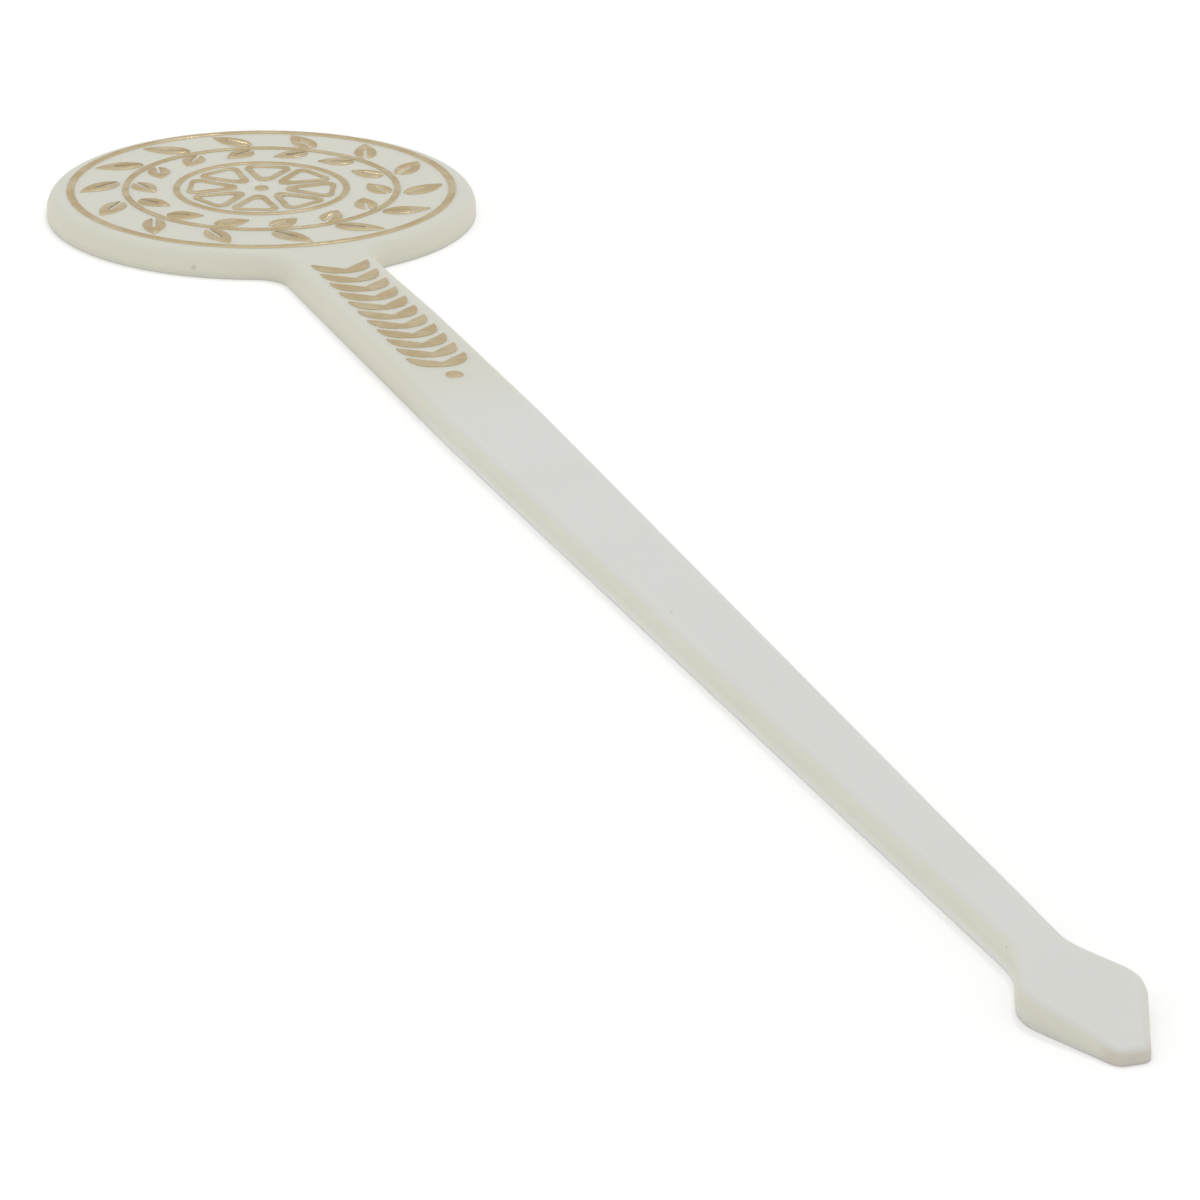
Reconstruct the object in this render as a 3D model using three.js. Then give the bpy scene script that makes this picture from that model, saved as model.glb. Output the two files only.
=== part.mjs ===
// A flat drink stirrer: one white moulding with gold foil stamped on its upper face.
// Millimetres, +Z up. The stirrer lies on its flat back. The origin is the middle of the
// head's back, the stem runs along -Y, and the decorated face looks up.

import * as THREE from "three";
import { mergeVertices } from "three/addons/utils/BufferGeometryUtils.js";

// Moulding
const thickness = 2.15;
const headRadius = 18;
const headEdgeRound = 1.45; // radius of the roll round the head's upper edge
const neckFillet = 2.9; // plan radius where the head runs into the stem
const stemLength = 146; // from the head's edge to the blade's root
const stemParallel = 43; // length of stem from the head's edge that keeps its full width
const stemWidthAtHead = 7.75;
const stemWidthAtBlade = 3.8;
const stemEdgeRound = 0.8;
const rollFade = 14; // length of stem over which one edge radius fades to the next
const bladeRootLength = 6.1; // from the blade's root to its widest line
const bladeTipLength = 7.9; // from the widest line to the blunt end
const bladeWidth = 8.7; // between the side corners, before they are rounded
const bladeEndWidth = 2.2;
const bladeEndThickness = 0.95;
const bladeEdgeRound = 0.7;
const bladeRootRadius = 7.5; // plan radii of the blade's corners
const bladeSideRadius = 4.5;
const bladeEndRadius = 0.9;
const wallUnderRoll = 0.2; // least upright wall left under a rolled edge

// Foil on the head: a border, a garland of leaves, and a citrus wheel in the middle
const foilHeight = 0.12; // stamped relief and its foil together
const foilGap = 0.45; // bare plastic between neighbouring pieces of foil
const borderWidth = 0.65;
const borderInset = 0.2; // bare flat between the border and the head's roll
const garlandLine = 0.5; // width of the ring that the leaves grow from
const leafPairs = 14;
const outerLeafLength = 4.2;
const innerLeafLength = 3.1;
const leafLean = THREE.MathUtils.degToRad(42); // a leaf's turn away from the garland's line
const leafSpacing = 0.75; // bare plastic between neighbouring leaves of the inner row
const leafVein = 0.3; // width of the bare slit along a leaf
const wheelGap = 0.3; // bare plastic between the inner leaves and the wheel
const wheelRimWidth = 0.55;
const wheelSegments = 8;
const segmentLine = 0.5; // width of the line that draws a segment
const segmentCorner = 0.7;
const hubRadius = 0.6;

// Foil on the stem: a strip of winged motifs that ends in a round bud
const stripStart = 6; // from the head's edge
const stripMargin = 0.7; // bare flat on each side of the strip
const stripMotifs = 11;
const motifLength = 2.7;
const motifWing = 1.9; // depth that a wing swells to
const motifNotch = 0.8; // depth of a motif on the stem's middle line
const motifGap = 0.55;
const budRadius = 0.7;

// Fineness of the round shapes
const chordError = 0.012;
const rollSteps = 5;
const stemStep = 5; // greatest spacing of the sections along the stem

const headY = -headRadius;
const shoulderY = headY - stemParallel; // where the stem starts to taper
const bladeRootY = headY - stemLength;
const bladeWideY = bladeRootY - bladeRootLength;
const bladeEndY = bladeWideY - bladeTipLength;

const plastic = () =>
  new THREE.MeshStandardMaterial({ color: 0xd6d7d1, roughness: 0.45, metalness: 0 });
const gold = () =>
  new THREE.MeshStandardMaterial({ color: 0xc9ae74, roughness: 0.35, metalness: 1 });

const stirrer = new THREE.Group();

function add(name, geometry, material) {
  const mesh = new THREE.Mesh(geometry, material);
  mesh.name = name;
  stirrer.add(mesh);
  return mesh;
}

// Points of an arc from angle a to angle b, both ends included.
function arc(centre, radius, a, b) {
  const step = 2 * Math.acos(Math.max(0, 1 - chordError / radius));
  const count = Math.max(2, Math.ceil(Math.abs(b - a) / step));
  return Array.from({ length: count + 1 }, (_, i) => {
    const angle = a + ((b - a) * i) / count;
    return new THREE.Vector2(Math.cos(angle), Math.sin(angle)).multiplyScalar(radius).add(centre);
  });
}

// The corner b between a and c, rounded to a radius that its two sides have room for.
function roundedCorner(a, b, c, wanted) {
  const u = a.clone().sub(b);
  const v = c.clone().sub(b);
  const room = Math.min(u.length(), v.length()) / 2;
  u.normalize();
  v.normalize();
  const half = Math.acos(THREE.MathUtils.clamp(u.dot(v), -1, 1)) / 2;
  const radius = Math.min(wanted, room * Math.tan(half));
  const middle = u.clone().add(v).normalize();
  const centre = b.clone().addScaledVector(middle, radius / Math.sin(half));
  const from = b.clone().addScaledVector(u, radius / Math.tan(half)).sub(centre).angle();
  const to = b.clone().addScaledVector(v, radius / Math.tan(half)).sub(centre).angle();
  let turn = to - from;
  if (turn > Math.PI) turn -= 2 * Math.PI;
  if (turn < -Math.PI) turn += 2 * Math.PI;
  return arc(centre, radius, from, from + turn);
}

function stemHalfWidthAt(y) {
  const share = THREE.MathUtils.clamp((shoulderY - y) / (shoulderY - bladeRootY), 0, 1);
  return THREE.MathUtils.lerp(stemWidthAtHead, stemWidthAtBlade, share) / 2;
}

// The stem's right-hand edge: from the head's level straight down to the shoulder, and from
// there straight in to the blade's root.
function stemEdge() {
  return [headY, shoulderY, bladeRootY].map((y) => new THREE.Vector2(stemHalfWidthAt(y), y));
}

// The neck's fillet touches the head's circle and the stem's edge above the shoulder.
function neckArc() {
  const [stemTop, shoulder] = stemEdge();
  const along = shoulder.clone().sub(stemTop).normalize();
  const outward = new THREE.Vector2(-along.y, along.x);
  const foot = stemTop.clone().addScaledVector(outward, neckFillet);
  const reach = headRadius + neckFillet;
  const b = foot.dot(along);
  const slide = -b + Math.sqrt(b * b - foot.lengthSq() + reach * reach);
  const centre = foot.addScaledVector(along, slide);
  const onHead = Math.atan2(centre.y, centre.x);
  const onStem = outward.clone().negate().angle();
  return arc(centre, neckFillet, onHead + Math.PI, onStem);
}

// Points along a straight stretch of the stem, with its two ends left out.
function between(from, to) {
  const count = Math.ceil(from.distanceTo(to) / stemStep);
  return Array.from({ length: count - 1 }, (_, i) => from.clone().lerp(to, (i + 1) / count));
}

// The moulding's right-hand edge in plan, from the head's far point to the blade's end.
function halfOutline() {
  const [, shoulder, root] = stemEdge();
  const wide = new THREE.Vector2(bladeWidth / 2, bladeWideY);
  const end = new THREE.Vector2(bladeEndWidth / 2, bladeEndY);
  const otherEnd = new THREE.Vector2(-end.x, end.y);
  const middle = new THREE.Vector2(0, bladeEndY);

  const neck = neckArc();
  const onHead = Math.atan2(neck[0].y, neck[0].x);
  const head = arc(new THREE.Vector2(), headRadius, Math.PI / 2, onHead);
  const rootCorner = roundedCorner(shoulder, root, wide, bladeRootRadius);

  return [
    ...head,
    ...neck.slice(1),
    ...between(neck.at(-1), shoulder),
    shoulder,
    ...between(shoulder, rootCorner[0]),
    ...rootCorner,
    ...roundedCorner(root, wide, end, bladeSideRadius),
    ...roundedCorner(wide, end, otherEnd, bladeEndRadius),
    middle,
  ];
}

function topAt(y) {
  if (y >= bladeWideY) return thickness;
  return THREE.MathUtils.mapLinear(y, bladeWideY, bladeEndY, thickness, bladeEndThickness);
}

// The roll is large on the head and neck, smaller along the stem and smallest on the blade.
const neckEndY = neckArc().at(-1).y;
function edgeRoundAt(y) {
  const blade = Math.min(bladeEdgeRound, bladeEndRadius);
  const pastNeck = THREE.MathUtils.smoothstep(neckEndY - y, 0, rollFade);
  const nearBlade = THREE.MathUtils.smoothstep(bladeRootY + rollFade - y, 0, rollFade);
  const stem = THREE.MathUtils.lerp(headEdgeRound, stemEdgeRound, pastNeck);
  return Math.min(THREE.MathUtils.lerp(stem, blade, nearBlade), topAt(y) - wallUnderRoll);
}

// Rings of points climb the wall and the rolled edge; ladders of triangles close both faces.
function mouldingGeometry() {
  const edge = halfOutline();
  const last = edge.length - 1;
  const outward = edge.map((point, i) => {
    if (i === 0) return new THREE.Vector2(0, 1);
    if (i === last) return new THREE.Vector2(0, -1);
    const before = point.clone().sub(edge[i - 1]).normalize();
    const after = edge[i + 1].clone().sub(point).normalize();
    const normal = new THREE.Vector2(-before.y - after.y, before.x + after.x).normalize();
    const mitre = Math.sqrt((1 + before.dot(after)) / 2);
    return normal.divideScalar(mitre);
  });

  const onAxis = (i) => i === 0 || i === last;
  const rings = [edge.map((point, i) => new THREE.Vector3(onAxis(i) ? 0 : point.x, point.y, 0))];
  for (let k = 0; k <= rollSteps; k++) {
    const tilt = (Math.PI / 2) * (k / rollSteps);
    const ring = edge.map((point, i) => {
      const round = edgeRoundAt(point.y);
      const p = point.clone().addScaledVector(outward[i], -round * (1 - Math.cos(tilt)));
      return new THREE.Vector3(onAxis(i) ? 0 : p.x, p.y, topAt(p.y) - round * (1 - Math.sin(tilt)));
    });
    rings.push(ring);
  }

  const positions = [];
  const triangle = (a, b, c) => positions.push(...a.toArray(), ...b.toArray(), ...c.toArray());
  const quad = (a, b, c, d) => {
    triangle(a, b, c);
    triangle(a, c, d);
  };
  const mirror = (p) => new THREE.Vector3(-p.x, p.y, p.z);
  for (let k = 0; k + 1 < rings.length; k++) {
    for (let i = 0; i < last; i++) {
      const [a, b] = [rings[k][i], rings[k][i + 1]];
      const [c, d] = [rings[k + 1][i + 1], rings[k + 1][i]];
      quad(a, d, c, b);
      quad(mirror(a), mirror(b), mirror(c), mirror(d));
    }
  }
  const [back, face] = [rings[0], rings.at(-1)];
  for (let i = 0; i < last; i++) {
    quad(mirror(back[i]), back[i], back[i + 1], mirror(back[i + 1]));
    quad(face[i], mirror(face[i]), mirror(face[i + 1]), face[i + 1]);
  }
  const geometry = new THREE.BufferGeometry();
  geometry.setAttribute("position", new THREE.Float32BufferAttribute(positions, 3));
  return dropEmptyTriangles(mergeVertices(geometry));
}

// The ladders' end rungs have no width on the axis, so some of their triangles are empty.
function dropEmptyTriangles(geometry) {
  const index = geometry.index.array;
  const kept = [];
  for (let i = 0; i < index.length; i += 3) {
    const [a, b, c] = [index[i], index[i + 1], index[i + 2]];
    if (a !== b && b !== c && c !== a) kept.push(a, b, c);
  }
  geometry.setIndex(kept);
  geometry.computeVertexNormals();
  return geometry;
}

// A piece of foil on the moulding's face, turned and then moved to its place.
function addFoil(name, shape, x, y, turn) {
  const options = { depth: foilHeight, bevelEnabled: false, curveSegments: 8 };
  const mesh = add(name, new THREE.ExtrudeGeometry(shape, options), gold());
  mesh.position.set(x, y, thickness);
  mesh.rotation.z = turn;
}

function circleShape(radius) {
  return new THREE.Shape(arc(new THREE.Vector2(), radius, 0, 2 * Math.PI).slice(0, -1));
}

function ringShape(outer, inner) {
  const shape = circleShape(outer);
  shape.holes.push(new THREE.Path(circleShape(inner).getPoints()));
  return shape;
}

// A leaf along +X from its base at the origin: two arcs, with a bare slit for the vein.
function leafShape(length, width) {
  const slit = leafVein / 2;
  const belly = length * 0.35;
  const veinEnd = length * 0.6;
  const shape = new THREE.Shape();
  shape.moveTo(0, -slit);
  shape.quadraticCurveTo(belly, -width, length, 0);
  shape.quadraticCurveTo(belly, width, 0, slit);
  shape.lineTo(veinEnd, slit);
  shape.lineTo(veinEnd, -slit);
  return shape;
}

// A rounded wedge of the wheel, centred on +X, drawn in by an inset from its neighbours.
function wedgePoints(inner, outer, inset, corner) {
  const halfAngle = Math.PI / wheelSegments;
  const tip = new THREE.Vector2(Math.max(inner, inset / Math.sin(halfAngle)), 0);
  const spread = halfAngle - Math.asin(inset / outer);
  const rim = arc(new THREE.Vector2(), outer, -spread, spread);
  const [low, high] = [rim[0], rim.at(-1)];
  const crown = rim[Math.floor(rim.length / 2)];
  return [
    ...roundedCorner(high, tip, low, corner),
    ...roundedCorner(tip, low, crown, corner),
    ...roundedCorner(crown, high, tip, corner),
  ];
}

// Two joined wings that open along +X. The inner edge keeps the outer edge's sideways course
// and lies ahead of it by no more than the wing's depth, so motifs stack at that depth.
function motifShape(width) {
  const half = width / 2;
  const [lift, spread] = [motifLength * 0.05, half * 0.6];
  const turn = motifLength * 0.25;
  const shape = new THREE.Shape();
  shape.moveTo(0, 0);
  shape.bezierCurveTo(lift, -spread, turn, -half, motifLength, -half);
  shape.bezierCurveTo(turn + motifWing, -half, lift + motifWing, -spread, motifNotch, 0);
  shape.bezierCurveTo(lift + motifWing, spread, turn + motifWing, half, motifLength, half);
  shape.bezierCurveTo(turn, half, lift, spread, 0, 0);
  return shape;
}

add("moulding", mouldingGeometry(), plastic());

const borderOuter = headRadius - headEdgeRound - borderInset;
const borderInner = borderOuter - borderWidth;
addFoil("foil_border_ring", ringShape(borderOuter, borderInner), 0, 0, 0);

// The outer leaves' tips reach the border's gap, and the rest follows from there inwards.
const leafRise = Math.sin(leafLean);
const leafRun = Math.cos(leafLean);
const outerTip = borderInner - foilGap;
const outerBase =
  Math.sqrt(outerTip ** 2 - (outerLeafLength * leafRun) ** 2) - outerLeafLength * leafRise;
const garlandOuter = outerBase - foilGap;
const garlandInner = garlandOuter - garlandLine;
const innerBase = garlandInner - foilGap;
const innerTip = innerBase - innerLeafLength * leafRise;
const leafWidth = ((2 * Math.PI * innerTip) / leafPairs) * leafRise - leafSpacing;
addFoil("foil_garland_ring", ringShape(garlandOuter, garlandInner), 0, 0, 0);
for (let i = 0; i < leafPairs; i++) {
  const angle = (2 * Math.PI * i) / leafPairs;
  const growth = angle + Math.PI / 2;
  const outer = leafShape(outerLeafLength, leafWidth);
  const inner = leafShape(innerLeafLength, leafWidth);
  const [x, y] = [Math.cos(angle), Math.sin(angle)];
  addFoil(`foil_leaf_outer_${i + 1}`, outer, outerBase * x, outerBase * y, growth - leafLean);
  addFoil(`foil_leaf_inner_${i + 1}`, inner, innerBase * x, innerBase * y, growth + leafLean);
}

const wheelRadius = innerTip - leafWidth / 2 - wheelGap;
const rimInner = wheelRadius - wheelRimWidth;
addFoil("foil_wheel_rim", ringShape(wheelRadius, rimInner), 0, 0, 0);
addFoil("foil_wheel_hub", circleShape(hubRadius), 0, 0, 0);
const segmentOuter = rimInner - foilGap;
const segmentTip = hubRadius + foilGap;
const holeTip = segmentTip + segmentLine / Math.sin(Math.PI / wheelSegments);
for (let i = 0; i < wheelSegments; i++) {
  const inset = foilGap / 2;
  const shape = new THREE.Shape(wedgePoints(segmentTip, segmentOuter, inset, segmentCorner));
  const hole = wedgePoints(
    holeTip,
    segmentOuter - segmentLine,
    inset + segmentLine,
    segmentCorner - segmentLine / 2,
  );
  shape.holes.push(new THREE.Path(hole));
  const turn = (2 * Math.PI * (i + 0.5)) / wheelSegments;
  addFoil(`foil_wheel_segment_${i + 1}`, shape, 0, 0, turn);
}

const stripPitch = motifWing + motifGap;
const budY = headY - stripStart - (stripMotifs - 1) * stripPitch - motifNotch - motifGap - budRadius;
const stripWidth = 2 * (stemHalfWidthAt(budY) - stemEdgeRound - stripMargin);
for (let i = 0; i < stripMotifs; i++) {
  const y = headY - stripStart - i * stripPitch;
  addFoil(`foil_stem_motif_${i + 1}`, motifShape(stripWidth), 0, y, Math.PI / 2);
}
addFoil("foil_stem_bud", circleShape(budRadius), 0, budY, 0);

export default stirrer;
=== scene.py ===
# %% [markdown]
# # A drink stirrer in white plastic and gold foil
# The real stirrer is one injection moulding: a round head, a long stem that narrows, and a
# thin kite-shaped blade. Gold foil is stamped on the raised lines of its upper face. This
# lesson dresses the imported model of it. The frame comes first, because it says how large
# each piece is and where it lies, and nothing here moves or resizes it.

# %% Load the frame
import math

import bmesh
import bpy
from mathutils import Matrix, Vector


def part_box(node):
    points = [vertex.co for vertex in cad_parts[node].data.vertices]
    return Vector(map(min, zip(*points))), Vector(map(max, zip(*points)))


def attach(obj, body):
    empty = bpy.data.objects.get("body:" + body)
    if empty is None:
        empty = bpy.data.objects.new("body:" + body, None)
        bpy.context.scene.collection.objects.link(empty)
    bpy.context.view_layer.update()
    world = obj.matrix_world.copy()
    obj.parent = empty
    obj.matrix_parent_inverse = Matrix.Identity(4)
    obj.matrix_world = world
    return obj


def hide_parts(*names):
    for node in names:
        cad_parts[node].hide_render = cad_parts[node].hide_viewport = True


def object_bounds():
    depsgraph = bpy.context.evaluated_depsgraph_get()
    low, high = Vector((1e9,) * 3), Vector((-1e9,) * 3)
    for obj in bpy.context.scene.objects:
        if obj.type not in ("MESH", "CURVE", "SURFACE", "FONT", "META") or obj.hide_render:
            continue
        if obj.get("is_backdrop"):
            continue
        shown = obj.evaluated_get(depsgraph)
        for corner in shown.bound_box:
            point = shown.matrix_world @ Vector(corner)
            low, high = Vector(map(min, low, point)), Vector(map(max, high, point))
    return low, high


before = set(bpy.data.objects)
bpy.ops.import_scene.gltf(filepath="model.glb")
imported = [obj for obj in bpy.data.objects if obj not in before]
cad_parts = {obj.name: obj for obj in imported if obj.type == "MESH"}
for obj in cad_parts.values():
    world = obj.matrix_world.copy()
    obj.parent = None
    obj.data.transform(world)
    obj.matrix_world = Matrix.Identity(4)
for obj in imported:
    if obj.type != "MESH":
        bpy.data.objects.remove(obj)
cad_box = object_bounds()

MM = 0.001
lowest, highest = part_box("moulding")
HEAD_RADIUS = highest.y
THICKNESS = highest.z
BLADE_END = lowest.y
print("head radius, thickness and blade end in mm:",
      [round(size / MM, 2) for size in (HEAD_RADIUS, THICKNESS, BLADE_END)])

# %% [markdown]
# ## The camera
# A long lens far away and a short lens close by can frame the same thing, but they bend
# its shape differently. Here the head, which lies further off, looks only a little smaller
# than it is, so the lens is long. The camera is turned in three plain steps: the heading
# round the vertical, the look down, and a slight roll about its own line of sight.

# %% Camera
CAMERA_PLACE = Vector((-152.36, -500.02, 165.87)) * MM
CAMERA_HEADING = math.radians(20.10)
CAMERA_DOWN = math.radians(21.01)
CAMERA_ROLL = math.radians(0.56)
SENSOR_WIDTH = 36
LENS = 195
NEAREST_SEEN = 10 * MM

camera_turn = (
    Matrix.Rotation(-CAMERA_HEADING, 3, "Z")
    @ Matrix.Rotation(math.pi / 2 - CAMERA_DOWN, 3, "X")
    @ Matrix.Rotation(CAMERA_ROLL, 3, "Z")
)
bpy.ops.object.camera_add(location=CAMERA_PLACE, rotation=camera_turn.to_euler())
camera = bpy.context.object
camera.name = "camera"
camera.data.sensor_width = SENSOR_WIDTH
camera.data.lens = LENS
camera.data.clip_start = NEAREST_SEEN
bpy.context.scene.camera = camera
print("camera turn in degrees:", [round(math.degrees(a), 2) for a in camera.rotation_euler])

# %% [markdown]
# ## Building shaders in code
# A shader is a small graph. Two helpers keep it readable: one turns a colour as a painter
# would name it, from 0 to 255, into the linear values that light works in, and one adds a
# node and fills its inputs, either with a value or with a link from another node.

# %% Shader helpers
def paint(red, green, blue):
    """Turns a colour from 0 to 255 on the sRGB curve into the linear values of a shader."""
    shares = [level / 255 for level in (red, green, blue)]
    linear = [s / 12.92 if s <= 0.04045 else ((s + 0.055) / 1.055) ** 2.4 for s in shares]
    return (*linear, 1)


def add_node(tree, kind, inputs=None, **settings):
    """Adds a node, with its settings and with each named input set or linked."""
    made = tree.nodes.new(kind)
    for name, value in settings.items():
        setattr(made, name, value)
    for name, value in (inputs or {}).items():
        if isinstance(value, bpy.types.NodeSocket):
            tree.links.new(value, made.inputs[name])
        else:
            made.inputs[name].default_value = value
    return made


def mix_colours(tree, share, first, second):
    """The first colour, turning into the second as share goes from 0 to 1."""
    share_in, first_in, second_in, colour_out = 0, 6, 7, 2
    inputs = {share_in: share, first_in: first, second_in: second}
    return add_node(tree, "ShaderNodeMix", inputs, data_type="RGBA").outputs[colour_out]


def calculate(tree, operation, *values):
    """One sum on numbers or sockets, kept between 0 and 1."""
    inputs = dict(enumerate(values))
    return add_node(tree, "ShaderNodeMath", inputs, operation=operation, use_clamp=True).outputs[0]


def remap(tree, value, start, end, low=0.0, high=1.0):
    """Carries value from start..end to low..high, with soft ends."""
    inputs = {"Value": value, "From Min": start, "From Max": end, "To Min": low, "To Max": high}
    node = add_node(tree, "ShaderNodeMapRange", inputs, interpolation_type="SMOOTHSTEP")
    return node.outputs["Result"]


def new_material(name):
    """An empty material: its tree and its output node."""
    material = bpy.data.materials.new(name)
    material.use_nodes = True
    material.node_tree.nodes.clear()
    output = add_node(material.node_tree, "ShaderNodeOutputMaterial")
    return material, material.node_tree, output


print("white plastic, as light sees it:", [round(c, 3) for c in paint(216, 217, 211)])

# %% [markdown]
# ## The table and the light
# The stirrer was photographed on a white sheet under broad, soft light, so its shadow is
# only a faint line of grey along its lower edge. A pale floor catches that shadow. To the
# camera, and in reflections, the floor also glows a little, so that it reaches pure white
# where nothing shades it. The glow throws no soft light on the stirrer.

# %% Floor
FLOOR_SIZE = 4
FLOOR_DROP = 0.01 * MM
FLOOR_GREY = 0.94
FLOOR_SEEN = 1.0
FLOOR_GLOW = 0.08


def seen_or_reflected(tree):
    """1 for a ray from the camera, a mirror or a clear surface, and 0 for soft light."""
    path = add_node(tree, "ShaderNodeLightPath")
    mirrored = calculate(tree, "MAXIMUM", path.outputs["Is Glossy Ray"],
                         path.outputs["Is Transmission Ray"])
    return calculate(tree, "MAXIMUM", path.outputs["Is Camera Ray"], mirrored)


bpy.ops.object.select_all(action="DESELECT")
bpy.ops.mesh.primitive_plane_add(size=FLOOR_SIZE, location=(0, 0, -FLOOR_DROP))
floor = bpy.context.object
floor.name = "floor"
floor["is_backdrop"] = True

material, tree, output = new_material("table_top")
plain = add_node(tree, "ShaderNodeBsdfDiffuse", {"Color": (FLOOR_GREY,) * 3 + (1,)})
catcher = add_node(tree, "ShaderNodeBsdfDiffuse", {"Color": (FLOOR_SEEN,) * 3 + (1,)})
glow = add_node(tree, "ShaderNodeEmission", {"Strength": FLOOR_GLOW})
seen = add_node(tree, "ShaderNodeAddShader", {0: catcher.outputs[0], 1: glow.outputs[0]})
either = add_node(tree, "ShaderNodeMixShader",
                  {0: seen_or_reflected(tree), 1: plain.outputs[0], 2: seen.outputs[0]})
tree.links.new(either.outputs[0], output.inputs["Surface"])
floor.data.materials.append(material)
print("floor:", FLOOR_SIZE, "m wide, unshaded grey plus glow", FLOOR_SEEN + FLOOR_GLOW)

# %% [markdown]
# The light is very even: the photo's walls are nearly as bright as its upper faces. So the
# sky is a plain soft dome, brighter on the camera's side, which the walls that it sees face.
# A soft lamp stands high behind the head, so that the faint shadow lies on the near side.
# The camera and the foil see the dome as plain white. The second lamp is small, and the foil
# mirrors it in glints.

# %% Sky and lamp
SKY_BRIGHT_SIDE = Vector((-0.4, -0.9, 0))
SKY_BRIGHTEST = 1.14
SKY_DIMMEST = 0.86
SKY_SEEN = 1.0
LAMPS = {
    "soft_lamp": (Vector((0, 0.45, 0.85)), 0.5, 0.6),
    "glint_lamp": (Vector((0.29, 0.30, 0.85)), 0.12, 1.1),
}
STIRRER_MIDDLE = Vector((0, (HEAD_RADIUS + BLADE_END) / 2, 0))

world = bpy.data.worlds.new("sky")
world.use_nodes = True
world.node_tree.nodes.clear()
tree = world.node_tree
direction = add_node(tree, "ShaderNodeTexCoord").outputs["Generated"]
towards = add_node(tree, "ShaderNodeVectorMath", {0: direction, 1: SKY_BRIGHT_SIDE},
                   operation="DOT_PRODUCT").outputs["Value"]
soft = add_node(tree, "ShaderNodeMapRange", {
    "Value": towards, "From Min": -1, "From Max": 1,
    "To Min": SKY_DIMMEST, "To Max": SKY_BRIGHTEST}).outputs["Result"]
strength = add_node(tree, "ShaderNodeMix", {0: seen_or_reflected(tree), 2: soft, 3: SKY_SEEN})
sky = add_node(tree, "ShaderNodeBackground", {"Strength": strength.outputs[0]})
output = add_node(tree, "ShaderNodeOutputWorld", {"Surface": sky.outputs[0]})
bpy.context.scene.world = world

for name, (lamp_place, size, watts) in LAMPS.items():
    aim = (STIRRER_MIDDLE - lamp_place).to_track_quat("-Z", "Y").to_euler()
    bpy.ops.object.light_add(type="AREA", location=lamp_place, rotation=aim)
    lamp = bpy.context.object
    lamp.name = name
    lamp.data.size = size
    lamp.data.energy = watts
bpy.context.scene.view_settings.view_transform = "Standard"
print("sky:", SKY_DIMMEST, "to", SKY_BRIGHTEST, "lamps:", list(LAMPS))

# %% [markdown]
# ## The moulding, drawn with a pen
# The moulding is a flat sheet with a shaped outline, so it starts as a line. A plane merged
# to one point is the pen. Extruding the point draws a straight line, and spinning it round
# a centre draws an arc, which gives every corner its true radius. This way was chosen over
# a sculpted box because the outline is what the eye reads first on so thin a thing.

# %% Pen
CHORD_ERROR = 0.003 * MM


def open_mesh():
    """The mesh that is being edited."""
    return bmesh.from_edit_mesh(bpy.context.object.data)


def pick(kind, test):
    """Selects the points, edges or faces that pass a test, and nothing else."""
    bpy.ops.mesh.select_mode(type=kind)
    bpy.ops.mesh.select_all(action="DESELECT")
    mesh = open_mesh()
    parts = {"VERT": mesh.verts, "EDGE": mesh.edges, "FACE": mesh.faces}[kind]
    chosen = [part for part in parts if test(part)]
    for part in chosen:
        part.select_set(True)
    bmesh.update_edit_mesh(bpy.context.object.data)
    return len(chosen)


def pen():
    """Where the one selected point is, in plan."""
    return next(point for point in open_mesh().verts if point.select).co.to_2d()


def line_to(place):
    step = place - pen()
    bpy.ops.mesh.extrude_region_move(TRANSFORM_OT_translate={"value": (*step, 0)})


def arc_about(centre, turn):
    """Draws an arc; a positive turn is anticlockwise, which spin counts the other way."""
    radius = (pen() - centre).length
    finest = 2 * math.acos(1 - CHORD_ERROR / radius)
    bpy.ops.mesh.spin(steps=math.ceil(abs(turn) / finest), angle=-turn, center=(*centre, 0),
                      axis=(0, 0, 1))


def corner(before, at, after, radius):
    """Draws up to a corner of the outline and round it."""
    into = (at - before).normalized()
    out = (after - at).normalized()
    turn = -into.angle_signed(out)
    side = Vector((-into.y, into.x)) * math.copysign(radius, turn)
    start = at - into * radius * math.tan(abs(turn) / 2)
    line_to(start)
    arc_about(start + side, turn)


print("pen ready, arcs true to", CHORD_ERROR / MM, "mm")

# %% [markdown]
# The outline's corners are few: the shoulder, where the stem starts to narrow, then the
# blade's root, its widest place and its blunt end. Above the shoulder the stem's edge runs
# straight along Y. The neck's fillet touches the head's circle on the outside and that edge
# on its side, so its centre lies one head radius plus one fillet from the origin, and one
# fillet out from the stem.

# %% Corners of the outline
STEM_WIDTH_AT_HEAD = 7.75 * MM
STEM_WIDTH_AT_BLADE = 3.8 * MM
STEM_PARALLEL = 43 * MM
STEM_LENGTH = 146 * MM
NECK_FILLET = 2.9 * MM
BLADE_ROOT_LENGTH = 6.1 * MM
BLADE_WIDTH = 8.7 * MM
BLADE_END_WIDTH = 2.2 * MM

shoulder = Vector((STEM_WIDTH_AT_HEAD / 2, -HEAD_RADIUS - STEM_PARALLEL))
blade_root = Vector((STEM_WIDTH_AT_BLADE / 2, -HEAD_RADIUS - STEM_LENGTH))
blade_wide = Vector((BLADE_WIDTH / 2, blade_root.y - BLADE_ROOT_LENGTH))
blade_corner = Vector((BLADE_END_WIDTH / 2, BLADE_END))
blade_middle = Vector((0, BLADE_END))

reach = HEAD_RADIUS + NECK_FILLET
aside = shoulder.x + NECK_FILLET
neck_centre = Vector((aside, -math.sqrt(reach**2 - aside**2)))
print("neck fillet's centre in mm:", [round(c / MM, 2) for c in neck_centre])

# %% Draw the right half
BLADE_ROOT_RADIUS = 7.5 * MM
BLADE_SIDE_RADIUS = 4.5 * MM
BLADE_END_RADIUS = 0.9 * MM
STEM_SECTION = 1.5 * MM


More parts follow.
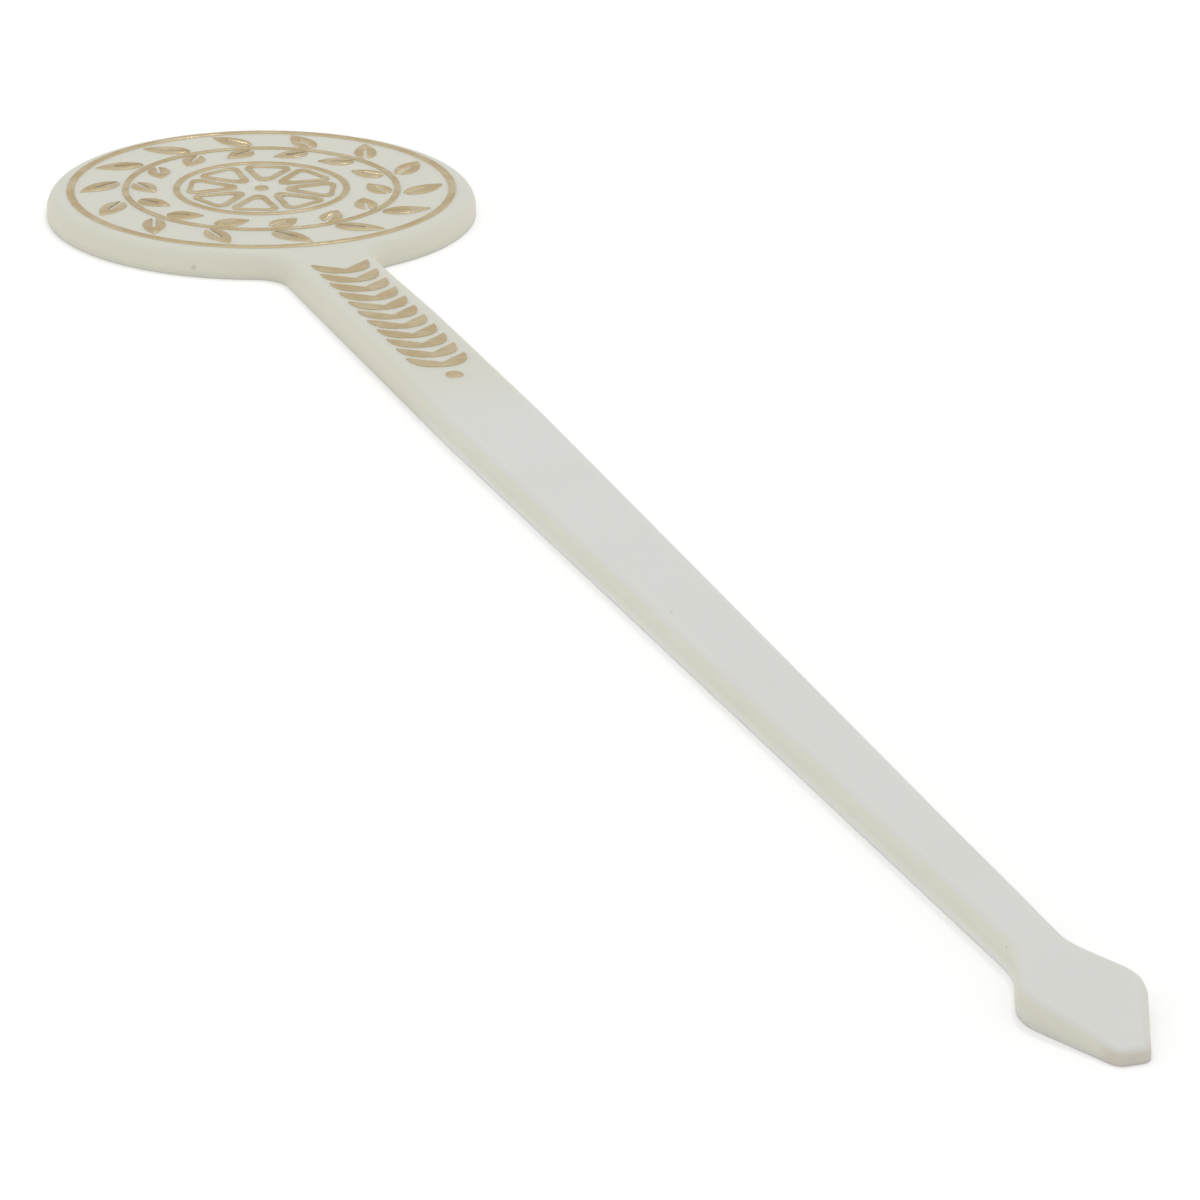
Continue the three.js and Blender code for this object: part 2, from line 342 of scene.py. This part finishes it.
def straight_to(end):
    """Draws straight to a point in short sections, so that the roll can change along them."""
    start = pen()
    count = math.ceil((end - start).length / STEM_SECTION)
    for i in range(1, count + 1):
        line_to(start.lerp(end, i / count))
    return count


bpy.ops.object.select_all(action="DESELECT")
bpy.ops.mesh.primitive_plane_add(size=MM)
moulding = bpy.context.object
moulding.name = "white_moulding"
bpy.ops.object.mode_set(mode="EDIT")
bpy.ops.mesh.merge(type="CENTER")
bpy.ops.transform.translate(value=(0, HEAD_RADIUS, 0))

head_middle = Vector((0, 0))
towards_head = Vector((0, 1))
towards_left = Vector((-1, 0))
arc_about(head_middle, neck_centre.angle_signed(towards_head))
touch = pen()
arc_about(neck_centre, -(touch - neck_centre).angle_signed(towards_left))
neck_end = pen()
stem_end = blade_root + (shoulder - blade_root).normalized() * BLADE_ROOT_RADIUS
sections = straight_to(shoulder) + straight_to(stem_end)
corner(shoulder, blade_root, blade_wide, BLADE_ROOT_RADIUS)
corner(blade_root, blade_wide, blade_corner, BLADE_SIDE_RADIUS)
corner(blade_wide, blade_corner, blade_middle, BLADE_END_RADIUS)
line_to(blade_middle)
print("neck runs from", touch / MM, "to", neck_end / MM, "with", sections, "stem sections")

# %% [markdown]
# The left half is the right one turned over, and the joined outline is filled with one
# face. Lifting a copy of that face gives the sheet its thickness. The blade thins towards
# its end, so the sheet is scored across at the blade's widest line, and every point of the
# upper face past the score comes down in proportion.

# %% Both halves, thickness and the thin blade
BLADE_END_THICKNESS = 0.95 * MM
MERGE_WITHIN = 0.001 * MM

bpy.ops.mesh.select_all(action="SELECT")
bpy.ops.mesh.duplicate()
bpy.ops.transform.resize(value=(-1, 1, 1), center_override=(0, 0, 0))
bpy.ops.mesh.select_all(action="SELECT")
bpy.ops.mesh.remove_doubles(threshold=MERGE_WITHIN)
bpy.ops.mesh.edge_face_add()
bpy.ops.mesh.extrude_region_move(TRANSFORM_OT_translate={"value": (0, 0, THICKNESS)})
bpy.ops.mesh.select_all(action="SELECT")
bpy.ops.mesh.bisect(plane_co=(0, blade_wide.y, 0), plane_no=(0, 1, 0))
bpy.ops.mesh.select_all(action="SELECT")
bpy.ops.mesh.normals_make_consistent(inside=False)


def past_score(point):
    return point.co.z > THICKNESS / 2 and point.co.y < blade_wide.y - MERGE_WITHIN


lowered = pick("VERT", past_score)
for point in open_mesh().verts:
    if point.select:
        share = (blade_wide.y - point.co.y) / (blade_wide.y - BLADE_END)
        point.co.z = THICKNESS + (BLADE_END_THICKNESS - THICKNESS) * share
bmesh.update_edit_mesh(moulding.data)
print("points of the upper face brought down to thin the blade:", lowered)

# %% [markdown]
# ## The rolled edge
# The mould's upper half has no sharp corner. The head's edge is a broad roll, the stem's is
# smaller and the blade's smaller still. One Bevel modifier makes all three: it reads a
# weight on each edge, which is that edge's share of the largest radius. The weight changes
# only along the straight stem, because a bevel can't change its width round a bend. A
# second, tiny bevel takes the knife edge off the lower rim, which is crisp on the real one.

# %% Roll the upper edge
HEAD_ROLL = 1.45 * MM
STEM_ROLL = 0.8 * MM
BLADE_ROLL = 0.7 * MM
ROLL_CHANGE = 14 * MM
ROLL_SEGMENTS = 10
LOWER_BREAK = 0.03 * MM
LOWER_SEGMENTS = 3
FLAT_OR_STEEP = 0.5


def smooth_share(value, start, end):
    share = min(1, max(0, (value - start) / (end - start)))
    return share * share * (3 - 2 * share)


def roll_at(y):
    below_neck = smooth_share(neck_end.y - STEM_SECTION - y, 0, ROLL_CHANGE)
    above_blade = smooth_share(stem_end.y - y, -ROLL_CHANGE, 0)
    stem = HEAD_ROLL + (STEM_ROLL - HEAD_ROLL) * below_neck
    return stem + (BLADE_ROLL - stem) * above_blade


def is_rim(edge, up):
    """True for an edge between the wall and the upper face, or the lower one."""
    slants = sorted(abs(face.normal.z) for face in edge.link_faces)
    faces_up = sum(face.normal.z for face in edge.link_faces) > 0
    return slants[0] < FLAT_OR_STEEP < slants[1] and faces_up == up


def bevel(name, rim_up, width_at, segments):
    """Weights the rim's edges by the radius they need, and rounds them."""
    widest = max(width_at(y) for y in (0, BLADE_END / 2, BLADE_END))
    bpy.ops.object.mode_set(mode="EDIT")
    count = pick("EDGE", lambda edge: is_rim(edge, rim_up))
    mesh = open_mesh()
    weights = mesh.edges.layers.float.get("bevel_weight_edge")
    weights = weights or mesh.edges.layers.float.new("bevel_weight_edge")
    for edge in mesh.edges:
        middle = (edge.verts[0].co.y + edge.verts[1].co.y) / 2
        edge[weights] = width_at(middle) / widest if edge.select else 0
    bmesh.update_edit_mesh(moulding.data)
    bpy.ops.object.mode_set(mode="OBJECT")
    rounding = moulding.modifiers.new(name, "BEVEL")
    rounding.width = widest
    rounding.segments = segments
    rounding.limit_method = "WEIGHT"
    rounding.use_clamp_overlap = False
    bpy.ops.object.modifier_apply(modifier=name)
    return count


rolled = bevel("roll", True, roll_at, ROLL_SEGMENTS)
broken = bevel("lower_break", False, lambda y: LOWER_BREAK, LOWER_SEGMENTS)
print("edges rolled above:", rolled, "and broken below:", broken)

# %% [markdown]
# ## Ejector marks
# A moulding is pushed out of its mould by pins, and each pin leaves a shallow round print
# on the plain side. They are cut with short cylinders that stand a few hundredths of a
# millimetre deep in the back: two side by side on the head, and four down the stem.

# %% Cut the ejector marks
MARK_DEPTH = 0.05 * MM
HEAD_MARK_RADIUS = 2 * MM
STEM_MARK_RADIUS = 1.1 * MM
HEAD_MARK_SPREAD = 9.5 * MM
STEM_MARKS = 4
CUTTER_HEIGHT = 1 * MM
CUTTER_SIDES = 64

marks = [(side * HEAD_MARK_SPREAD, 0, HEAD_MARK_RADIUS) for side in (-1, 1)]
first_mark = -HEAD_RADIUS - NECK_FILLET
for i in range(STEM_MARKS):
    share = i / (STEM_MARKS - 1)
    marks.append((0, first_mark + (blade_wide.y - first_mark) * share, STEM_MARK_RADIUS))

bpy.ops.object.select_all(action="DESELECT")
cutters = []
for x, y, radius in marks:
    bpy.ops.mesh.primitive_cylinder_add(
        vertices=CUTTER_SIDES, radius=radius, depth=CUTTER_HEIGHT,
        location=(x, y, MARK_DEPTH - CUTTER_HEIGHT / 2))
    cutters.append(bpy.context.object)
for cutter in cutters:
    cutter.select_set(True)
bpy.ops.object.join()
cutter = bpy.context.object
bpy.context.view_layer.objects.active = moulding
cut = moulding.modifiers.new("marks", "BOOLEAN")
cut.operation = "DIFFERENCE"
cut.solver = "EXACT"
cut.object = cutter
bpy.ops.object.modifier_apply(modifier="marks")
bpy.data.objects.remove(cutter)
print("ejector marks:", len(marks), "faces of the moulding:", len(moulding.data.polygons))

# %% [markdown]
# Smooth shading hides the small flats of the roll, and edges sharper than the angle stay
# crisp. Weighted normals then keep the large faces flat right up to the roll.

# %% Shade the moulding and hand it to the frame
SMOOTH_BELOW = math.radians(35)


def smooth(piece):
    """Shades a piece smooth but for its sharp edges, with its large faces kept flat."""
    bpy.ops.object.select_all(action="DESELECT")
    piece.select_set(True)
    bpy.context.view_layer.objects.active = piece
    bpy.ops.object.shade_smooth_by_angle(angle=SMOOTH_BELOW)
    weighting = piece.modifiers.new("weighting", "WEIGHTED_NORMAL")
    weighting.keep_sharp = True
    bpy.ops.object.modifier_apply(modifier="weighting")


smooth(moulding)
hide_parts("moulding")
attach(moulding, "root")
check = bmesh.new()
check.from_mesh(moulding.data)
print("open edges:", sum(not edge.is_manifold for edge in check.edges),
      "volume in mm3:", round(check.calc_volume() / MM**3, 1))
check.free()

# %% [markdown]
# ## Effects shared by the plastic and the foil
# Both surfaces took the mould's fine texture, and both were handled. So these two effects
# are node groups with named inputs, placed in each material with that material's values.
# The first is the texture: a broad, shallow waviness with a fine grain on it.

# %% Mould texture group
GRAIN_DETAIL = 3.0
WAVE_DETAIL = 2.0


def new_group(name, inputs, outputs):
    """A node group with named number sockets; gives the group and its two ends."""
    group = bpy.data.node_groups.new(name, "ShaderNodeTree")
    for socket in inputs:
        group.interface.new_socket(name=socket, in_out="INPUT", socket_type="NodeSocketFloat")
    for socket in outputs:
        group.interface.new_socket(name=socket, in_out="OUTPUT", socket_type="NodeSocketFloat")
    start = add_node(group, "NodeGroupInput")
    end = add_node(group, "NodeGroupOutput")
    return group, start, end


def object_place(tree):
    return add_node(tree, "ShaderNodeTexCoord").outputs["Object"]


texture_group, start, end = new_group(
    "mould_texture", ["Grain Scale", "Wave Scale", "Wave Share"], ["Height", "Mottle"])
place = object_place(texture_group)
grain = add_node(texture_group, "ShaderNodeTexNoise",
                 {"Vector": place, "Scale": start.outputs["Grain Scale"],
                  "Detail": GRAIN_DETAIL})
wave = add_node(texture_group, "ShaderNodeTexNoise",
                {"Vector": place, "Scale": start.outputs["Wave Scale"],
                 "Detail": WAVE_DETAIL})
height = add_node(texture_group, "ShaderNodeMix",
                  {0: start.outputs["Wave Share"], 2: grain.outputs[0], 3: wave.outputs[0]})
texture_group.links.new(height.outputs[0], end.inputs["Height"])
texture_group.links.new(wave.outputs[0], end.inputs["Mottle"])
print("group:", texture_group.name, "sockets:", len(texture_group.interface.items_tree))

# %% [markdown]
# The second group is wear from handling: sparse hairlines, each a stretched patch of noise
# that shows only where a second, broad noise lets it. Turning the place before stretching
# it gives the hairlines a direction, and two directions together look accidental.

# %% Handling marks group
HAIRLINE_STRETCH = 0.04
HAIRLINE_TURNS = (0.5, 2.3)
HAIRLINE_SHOWS = (0.70, 0.78)
PATCH_SHOWS = (0.5, 0.62)
MARKS_DETAIL = 1.0


def hairlines(tree, place, scale, turn):
    mapped = add_node(tree, "ShaderNodeMapping", {
        "Vector": place, "Rotation": (0, 0, turn), "Scale": (1, HAIRLINE_STRETCH, 1)})
    noise = add_node(tree, "ShaderNodeTexNoise",
                     {"Vector": mapped.outputs[0], "Scale": scale, "Detail": MARKS_DETAIL})
    return remap(tree, noise.outputs[0], *HAIRLINE_SHOWS)


marks_group, start, end = new_group("handling_marks", ["Scale", "Patch Scale"], ["Mask"])
place = object_place(marks_group)
lines = [hairlines(marks_group, place, start.outputs["Scale"], t) for t in HAIRLINE_TURNS]
both = calculate(marks_group, "MAXIMUM", *lines)
patch = add_node(marks_group, "ShaderNodeTexNoise",
                 {"Vector": place, "Scale": start.outputs["Patch Scale"],
                  "Detail": MARKS_DETAIL})
shown = remap(marks_group, patch.outputs[0], *PATCH_SHOWS)
mask = calculate(marks_group, "MULTIPLY", both, shown)
marks_group.links.new(mask, end.inputs["Mask"])
print("group:", marks_group.name, "with", len(lines), "directions of hairline")

# %% [markdown]
# ## White plastic
# The plastic is a warm white that lets a little light through. Six things keep it from
# being one flat colour, and three of them are painted light and shade. The walls and rolls
# get a creamier, lighter colour by their slant: painted light, the warm glow of light that
# comes out through a thin edge. The foot of the stem's wall is painted paler: a painted
# bounce of the table's light. The blade's wall is painted a shade darker, and darker again
# and a touch pink at its blunt end: painted shade. The head and neck are a shade warmer
# than the rest. A faint mottle clouds the faces. And a few dark specks were caught in it,
# as in the real piece.

# %% White plastic
FACE_WHITE = paint(217, 218, 213)
HEAD_WHITE = paint(214, 213, 200)
# Painted light: the walls' creamier, lighter colours stand for warm light coming out through the
# thin edge.
WALL_PAINTED_LIGHT = paint(221, 220, 206)
# Painted bounce light: the stem's foot is paler where the table's light would reach it.
FOOT_PAINTED_BOUNCE = paint(238, 237, 229)
PAINTED_FOOT_HEIGHT = 1.0 * MM
HEAD_WALL_PAINTED_LIGHT = paint(220, 217, 201)
# Painted shade: the blade's wall, its foot and its blunt end are darker.
BLADE_WALL_PAINTED_SHADE = paint(218, 216, 202)
BLADE_FOOT_PAINTED_SHADE = paint(217, 215, 205)
BLADE_TIP_PAINTED_SHADE = paint(206, 200, 188)
MOTTLE_WHITE = paint(211, 211, 203)
SPECK_BROWN = paint(128, 118, 98)
WARM_FROM = -62 * MM
WARM_TO = -48 * MM
TIP_SHADE_FROM = 2 * BLADE_END_RADIUS
TIP_SHADE_TO = 0.5 * BLADE_END_RADIUS
SPECK_CORE = 0.3
SPECKS = {
    "head_wall": (Vector((-10.35, -14.73, 0.8)) * MM, 0.34 * MM, 0.25),
    "stem_face": (Vector((-1.9 * MM, -103.5 * MM, THICKNESS)), 0.12 * MM, 0.6),
    "blade_root": (Vector((-2.0, -162.8, 1.6)) * MM, 0.18 * MM, 0.6),
}
WALL_SLANTS = (0.96, 0.35)
MOTTLE_RANGE = (0.35, 0.75)
MOTTLE_SHARE = 0.2
PLASTIC_TEXTURE = {"Grain Scale": 1600, "Wave Scale": 90, "Wave Share": 0.5}
PLASTIC_HANDLING = {"Scale": 2200, "Patch Scale": 60}

plastic, tree, output = new_material("white_plastic")
coordinates = add_node(tree, "ShaderNodeTexCoord")
along = add_node(tree, "ShaderNodeSeparateXYZ", {0: coordinates.outputs["Object"]})
facing = add_node(tree, "ShaderNodeSeparateXYZ", {0: coordinates.outputs["Normal"]})
upward = calculate(tree, "ABSOLUTE", facing.outputs["Z"])

texture = add_node(tree, "ShaderNodeGroup", PLASTIC_TEXTURE, node_tree=texture_group)
handling = add_node(tree, "ShaderNodeGroup", PLASTIC_HANDLING, node_tree=marks_group)

warm = remap(tree, along.outputs["Y"], WARM_FROM, WARM_TO)
colour = mix_colours(tree, warm, FACE_WHITE, HEAD_WHITE)
# Painted bounce light and shade, laid on the lowest millimetre of the walls.
painted_foot_share = remap(tree, along.outputs["Z"], PAINTED_FOOT_HEIGHT, 0)
wall = mix_colours(tree, painted_foot_share, WALL_PAINTED_LIGHT, FOOT_PAINTED_BOUNCE)
wall = mix_colours(tree, warm, wall, HEAD_WALL_PAINTED_LIGHT)
blade_wall = mix_colours(tree, painted_foot_share, BLADE_WALL_PAINTED_SHADE, BLADE_FOOT_PAINTED_SHADE)
# Painted shade at the blade's blunt end.
painted_tip_shade = remap(tree, along.outputs["Y"], BLADE_END + TIP_SHADE_FROM, BLADE_END + TIP_SHADE_TO)
blade_wall = mix_colours(tree, painted_tip_shade, blade_wall, BLADE_TIP_PAINTED_SHADE)
on_blade = remap(tree, along.outputs["Y"], blade_root.y, blade_wide.y)
wall = mix_colours(tree, on_blade, wall, blade_wall)
mottle = remap(tree, texture.outputs["Mottle"], *MOTTLE_RANGE, 0, MOTTLE_SHARE)
colour = mix_colours(tree, mottle, colour, MOTTLE_WHITE)
# The wall colours go on by slant, as painted light on the walls and rolls.
colour = mix_colours(tree, remap(tree, upward, *WALL_SLANTS), colour, wall)
for centre, radius, share in SPECKS.values():
    away = add_node(tree, "ShaderNodeVectorMath",
                    {0: coordinates.outputs["Object"], 1: centre}, operation="DISTANCE")
    speck = remap(tree, away.outputs["Value"], radius, radius * SPECK_CORE, 0, share)
    colour = mix_colours(tree, speck, colour, SPECK_BROWN)
print("plastic's colour:", len(tree.nodes), "nodes so far, with", len(SPECKS), "specks")

# %% [markdown]
# The sheen of the plastic is soft. Its roughness follows the mottle, and each hairline adds
# a little more. Light goes about a millimetre into the plastic before it comes out again,
# and red light goes furthest. The bump is far finer than any shape, so it stays a bump.

# %% White plastic, its sheen
PLASTIC_ROUGHNESS = (0.46, 0.56)
ROUGHNESS_RANGE = (0.3, 0.7)
PLASTIC_HAIRLINE = 0.12
PLASTIC_BUMP = 0.25
BUMP_DEPTH = 0.02 * MM
PLASTIC_LIGHT = {
    "IOR": 1.5, "Specular IOR Level": 0.3, "Subsurface Weight": 0.3,
    "Subsurface Radius": (1.0, 0.8, 0.55), "Subsurface Scale": 1.2 * MM,
}


def rougher_hairlines(tree, roughness, handling, amount):
    """Adds to the roughness along the hairlines of a placed handling marks group."""
    added = calculate(tree, "MULTIPLY", handling.outputs["Mask"], amount)
    return calculate(tree, "ADD", roughness, added)


roughness = remap(tree, texture.outputs["Mottle"], *ROUGHNESS_RANGE, *PLASTIC_ROUGHNESS)
roughness = rougher_hairlines(tree, roughness, handling, PLASTIC_HAIRLINE)
bump = add_node(tree, "ShaderNodeBump", {
    "Height": texture.outputs["Height"], "Strength": PLASTIC_BUMP, "Distance": BUMP_DEPTH})
surface = add_node(tree, "ShaderNodeBsdfPrincipled", {
    "Base Color": colour, "Roughness": roughness, "Normal": bump.outputs[0], **PLASTIC_LIGHT})
tree.links.new(surface.outputs[0], output.inputs["Surface"])
moulding.data.materials.clear()
moulding.data.materials.append(plastic)
print("plastic:", len(tree.nodes), "nodes, roughness", PLASTIC_ROUGHNESS)

# %% [markdown]
# ## Gold foil
# The foil is a film of metal pressed on raised lines, so it keeps their rounded shoulders.
# Flat on top it is a dull, pale gold. On the shoulders it is painted brighter: a painted
# glint, standing in for the light that the edges catch. The imported solids have the right
# outline, so each piece of foil starts as a merged copy of one, and a small bevel turns
# its upper edge.

# %% Foil material
FOIL_DULL = paint(186, 166, 126)
FOIL_PALE = paint(201, 183, 143)
# Painted glint: the shoulders are painted brighter, standing in for the light they catch.
FOIL_PAINTED_GLINT = paint(226, 210, 175)
GLINT_PAINT_SLANTS = (0.95, 0.3)
FOIL_MOTTLE_RANGE = (0.4, 0.65)
FOIL_ROUGHNESS = (0.46, 0.26)
FOIL_HAIRLINE = 0.2
FOIL_BUMP = 0.4
FOIL_TEXTURE = {"Grain Scale": 2600, "Wave Scale": 420, "Wave Share": 0.4}
FOIL_HANDLING = {"Scale": 2600, "Patch Scale": 120}

foil, tree, output = new_material("gold_foil")
coordinates = add_node(tree, "ShaderNodeTexCoord")
facing = add_node(tree, "ShaderNodeSeparateXYZ", {0: coordinates.outputs["Normal"]})
texture = add_node(tree, "ShaderNodeGroup", FOIL_TEXTURE, node_tree=texture_group)
handling = add_node(tree, "ShaderNodeGroup", FOIL_HANDLING, node_tree=marks_group)

pale = remap(tree, texture.outputs["Mottle"], *FOIL_MOTTLE_RANGE)
colour = mix_colours(tree, pale, FOIL_DULL, FOIL_PALE)
# The painted glint goes on the shoulders by their slant.
painted_glint_share = remap(tree, facing.outputs["Z"], *GLINT_PAINT_SLANTS)
colour = mix_colours(tree, painted_glint_share, colour, FOIL_PAINTED_GLINT)
roughness = remap(tree, texture.outputs["Mottle"], *FOIL_MOTTLE_RANGE, *FOIL_ROUGHNESS)
roughness = rougher_hairlines(tree, roughness, handling, FOIL_HAIRLINE)
bump = add_node(tree, "ShaderNodeBump", {
    "Height": texture.outputs["Height"], "Strength": FOIL_BUMP, "Distance": BUMP_DEPTH})
surface = add_node(tree, "ShaderNodeBsdfPrincipled", {
    "Base Color": colour, "Roughness": roughness, "Normal": bump.outputs[0], "Metallic": 1.0})
tree.links.new(surface.outputs[0], output.inputs["Surface"])
print("foil:", len(tree.nodes), "nodes, roughness", FOIL_ROUGHNESS)

# %% Foil pieces
SHOULDER = 0.09 * MM
SHOULDER_SEGMENTS = 3
FLAT_WITHIN = math.radians(0.5)


def dress_foil(name):
    """A merged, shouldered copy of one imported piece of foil, in its place."""
    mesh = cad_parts[name].data.copy()
    piece = bpy.data.objects.new(name.replace("foil", "gold"), mesh)
    bpy.context.scene.collection.objects.link(piece)
    bpy.ops.object.select_all(action="DESELECT")
    piece.select_set(True)
    bpy.context.view_layer.objects.active = piece
    bpy.ops.object.mode_set(mode="EDIT")
    bpy.ops.mesh.select_all(action="SELECT")
    bpy.ops.mesh.remove_doubles(threshold=MERGE_WITHIN)
    bpy.ops.mesh.dissolve_limited(angle_limit=FLAT_WITHIN)
    pick("EDGE", lambda edge: is_rim(edge, True))
    bpy.ops.mesh.bevel(offset=SHOULDER, segments=SHOULDER_SEGMENTS, clamp_overlap=True)
    bpy.ops.object.mode_set(mode="OBJECT")
    smooth(piece)
    mesh.materials.clear()
    mesh.materials.append(foil)
    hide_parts(name)
    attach(piece, "root")
    return piece


foils = [dress_foil(name) for name in sorted(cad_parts) if name.startswith("foil_")]
print("foil pieces:", len(foils), "with", sum(len(p.data.polygons) for p in foils), "faces")

# %% [markdown]
# ## The box of the dressed model
# Last, the dressed model's box is printed beside the imported one's. The two have to agree,
# because dressing a model never changes its size.

# %% Print both boxes
boxes = {"cad": cad_box, "visual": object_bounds()}
for name, box in boxes.items():
    print(name, [[round(c / MM, 3) for c in end] for end in box])
